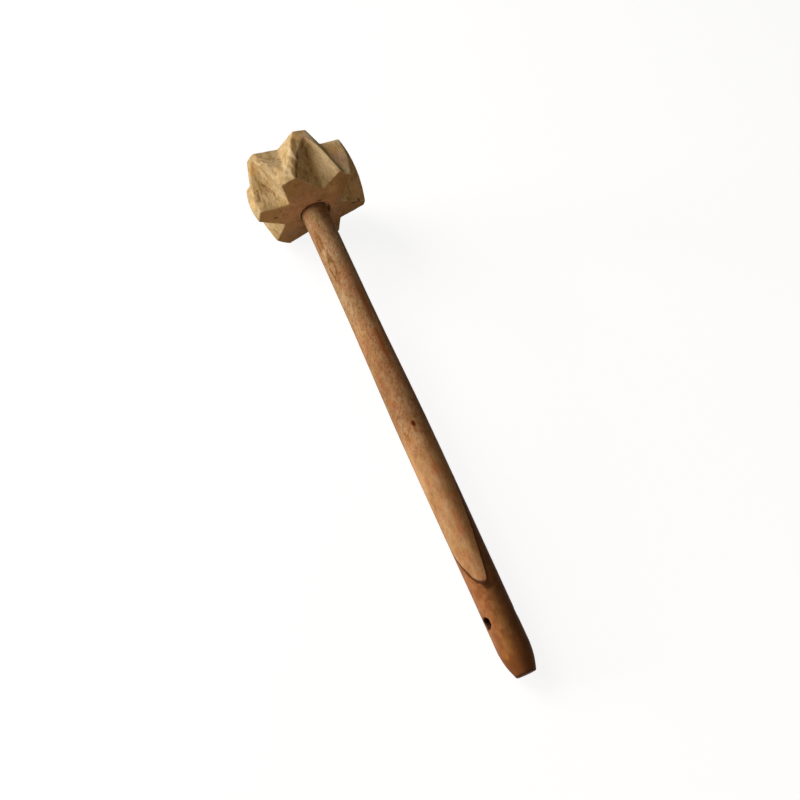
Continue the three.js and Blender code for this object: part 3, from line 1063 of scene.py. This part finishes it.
def turned_handle():
    piece = worn_piece(
        "handle", "turned_handle", HANDLE_GRID, HANDLE_ROUNDING, HANDLE_WAVES, HANDLE_WAVE_SEED
    )
    piece.data.materials.append(handle_wood())


def locking_wedge():
    piece = worn_piece(
        "tenon_wedge", "locking_wedge", WEDGE_GRID, WEDGE_ROUNDING, WEDGE_WAVES, WEDGE_WAVE_SEED
    )
    piece.data.materials.append(wedge_wood())


# Studio

def camera():
    data = bpy.data.cameras.new("camera")
    data.lens = CAMERA_LENS
    data.sensor_width = CAMERA_SENSOR
    data.clip_start = CAMERA_NEAREST
    eye = bpy.data.objects.new("camera", data)
    look = (CAMERA_AIM - CAMERA_PLACE).to_track_quat("-Z", "Y").to_matrix()
    turn = look @ Matrix.Rotation(CAMERA_ROLL, 3, "Z")
    eye.matrix_world = Matrix.Translation(CAMERA_PLACE) @ turn.to_4x4()
    bpy.context.scene.collection.objects.link(eye)
    bpy.context.scene.camera = eye


def soft_lamp(name, direction, distance, size, power, colour):
    data = bpy.data.lights.new(name, "AREA")
    data.shape = "DISK"
    data.size = size
    data.energy = power
    data.color = colour
    lamp = bpy.data.objects.new(name, data)
    lamp.location = Vector(direction).normalized() * distance
    lamp.rotation_euler = Vector(direction).to_track_quat("Z", "Y").to_euler()
    bpy.context.scene.collection.objects.link(lamp)


def seen_ray(tree):
    """1 for a ray that the camera, a gloss or a glass sends out, and 0 for one that lights a surface."""
    path = tree.nodes.new("ShaderNodeLightPath")
    seen = path.outputs["Is Camera Ray"]
    for name in ("Is Glossy Ray", "Is Transmission Ray"):
        either = tree.nodes.new("ShaderNodeMath")
        either.operation = "MAXIMUM"
        tree.links.new(seen, either.inputs[0])
        tree.links.new(path.outputs[name], either.inputs[1])
        seen = either.outputs[0]
    return seen


def floor_glow(tree):
    """How strongly the floor glows for the camera: a little less than white near the stick."""
    place = tree.nodes.new("ShaderNodeTexCoord")
    away = tree.nodes.new("ShaderNodeVectorMath")
    away.operation = "LENGTH"
    level = tree.nodes.new("ShaderNodeMapRange")
    level.inputs["From Min"].default_value = FLOOR_WHITE_FROM
    level.inputs["From Max"].default_value = FLOOR_WHITE_AT
    level.inputs["To Min"].default_value = FLOOR_GLOW
    level.inputs["To Max"].default_value = 1.0
    strength = tree.nodes.new("ShaderNodeMath")
    strength.operation = "MULTIPLY"
    tree.links.new(place.outputs["Object"], away.inputs[0])
    tree.links.new(away.outputs["Value"], level.inputs["Value"])
    tree.links.new(seen_ray(tree), strength.inputs[0])
    tree.links.new(level.outputs["Result"], strength.inputs[1])
    return strength.outputs[0]


def floor_finish():
    """A pale floor that looks white to the camera and keeps the stick's shadow."""
    material = bpy.data.materials.new("pale floor")
    material.use_nodes = True
    tree = material.node_tree
    tree.nodes.clear()
    output = tree.nodes.new("ShaderNodeOutputMaterial")
    both = tree.nodes.new("ShaderNodeAddShader")
    matt = tree.nodes.new("ShaderNodeBsdfDiffuse")
    glow = tree.nodes.new("ShaderNodeEmission")
    matt.inputs["Color"].default_value = (*FLOOR_COLOUR, 1)
    tree.links.new(floor_glow(tree), glow.inputs["Strength"])
    tree.links.new(matt.outputs[0], both.inputs[0])
    tree.links.new(glow.outputs[0], both.inputs[1])
    tree.links.new(both.outputs[0], output.inputs["Surface"])
    return material


def floor():
    shape = bmesh.new()
    bmesh.ops.create_grid(shape, x_segments=1, y_segments=1, size=FLOOR_SIZE / 2)
    mesh = bpy.data.meshes.new("floor")
    shape.to_mesh(mesh)
    shape.free()
    plane = bpy.data.objects.new("floor", mesh)
    plane.data.materials.append(floor_finish())
    bpy.context.scene.collection.objects.link(plane)


def sky():
    """A faint warm light from all round, which the camera sees as white."""
    world = bpy.data.worlds.new("studio")
    world.use_nodes = True
    bpy.context.scene.world = world
    tree = world.node_tree
    tree.nodes.clear()
    output = tree.nodes.new("ShaderNodeOutputWorld")
    either = tree.nodes.new("ShaderNodeMixShader")
    soft = tree.nodes.new("ShaderNodeBackground")
    white = tree.nodes.new("ShaderNodeBackground")
    soft.inputs["Color"].default_value = (*SKY_COLOUR, 1)
    soft.inputs["Strength"].default_value = SKY_STRENGTH
    white.inputs["Color"].default_value = (1, 1, 1, 1)
    white.inputs["Strength"].default_value = 1
    tree.links.new(seen_ray(tree), either.inputs["Fac"])
    tree.links.new(soft.outputs[0], either.inputs[1])
    tree.links.new(white.outputs[0], either.inputs[2])
    tree.links.new(either.outputs[0], output.inputs["Surface"])


bpy.context.scene.view_settings.view_transform = "Standard"
camera()
for lamp_name, lamp in LAMPS.items():
    soft_lamp(lamp_name, *lamp)
sky()
floor()
star_head()
turned_handle()
locking_wedge()
